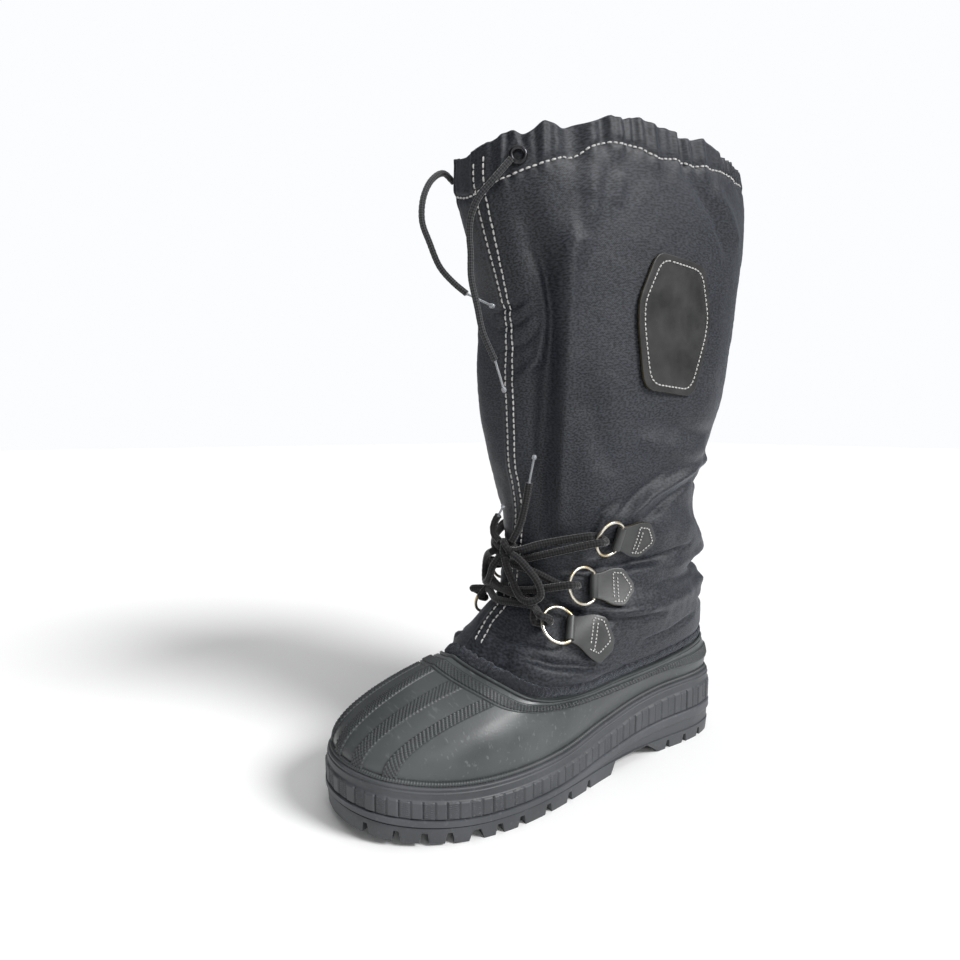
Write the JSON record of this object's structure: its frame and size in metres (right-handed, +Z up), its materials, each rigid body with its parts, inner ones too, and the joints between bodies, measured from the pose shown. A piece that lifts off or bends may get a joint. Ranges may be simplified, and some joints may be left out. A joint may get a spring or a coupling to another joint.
{
  "type": "pac boot",
  "caption": "Tall winter boot: lugged rubber foot, hollow nylon shaft, D-ring lacing, gathered drawcord collar and a bare side patch.",
  "frame": {"origin": "on the floor under the middle of the heel", "axes": "+Z up along the shaft, toe towards -Y, outer (lateral) side of this left boot towards +X"},
  "size_m": [0.1198, 0.3551, 0.4461],
  "materials": {
    "sole_rubber": "matt moulded rubber, dark grey, with a paler smooth band",
    "shell_rubber": "semi-gloss green-black rubber with light scuffs",
    "shaft_nylon": "close-woven navy-black nylon with a soft sheen",
    "binding_fabric": "coarse dark navy woven tape",
    "insole_felt": "grey felt",
    "leather": "black smooth leather with olive-brown cut edges",
    "ring_metal": "pale nickel over brass, worn",
    "eyelet_metal": "black lacquered metal",
    "cord": "black braided cord",
    "aglet": "clear wrapped tip"
  },
  "bodies": {
    "root": {"badge": "leather", "binding": "binding_fabric", "bow_loop_lateral": "cord", "bow_loop_medial": "cord", "d_ring_lateral_1": "ring_metal", "d_ring_lateral_2": "ring_metal", "d_ring_lateral_3": "ring_metal", "d_ring_medial_1": "ring_metal", "d_ring_medial_2": "ring_metal", "d_ring_medial_3": "ring_metal", "drawcord_aglet_lateral": "aglet", "drawcord_aglet_medial": "aglet", "drawcord_lateral": "cord", "drawcord_medial": "cord", "eyelet_lateral": "eyelet_metal", "eyelet_medial": "eyelet_metal", "insole": "insole_felt", "lace_aglet_lateral": "aglet", "lace_aglet_medial": "aglet", "lace_crossings": "cord", "lace_end_lateral": "cord", "lace_end_medial": "cord", "lace_knot": "cord", "lace_tab_lateral_1": "leather", "lace_tab_lateral_2": "leather", "lace_tab_lateral_3": "leather", "lace_tab_medial_1": "leather", "lace_tab_medial_2": "leather", "lace_tab_medial_3": "leather", "outsole": "sole_rubber", "shaft": "shaft_nylon", "shell": "shell_rubber", "sidewall": "sole_rubber"}
  },
  "joints": []
}
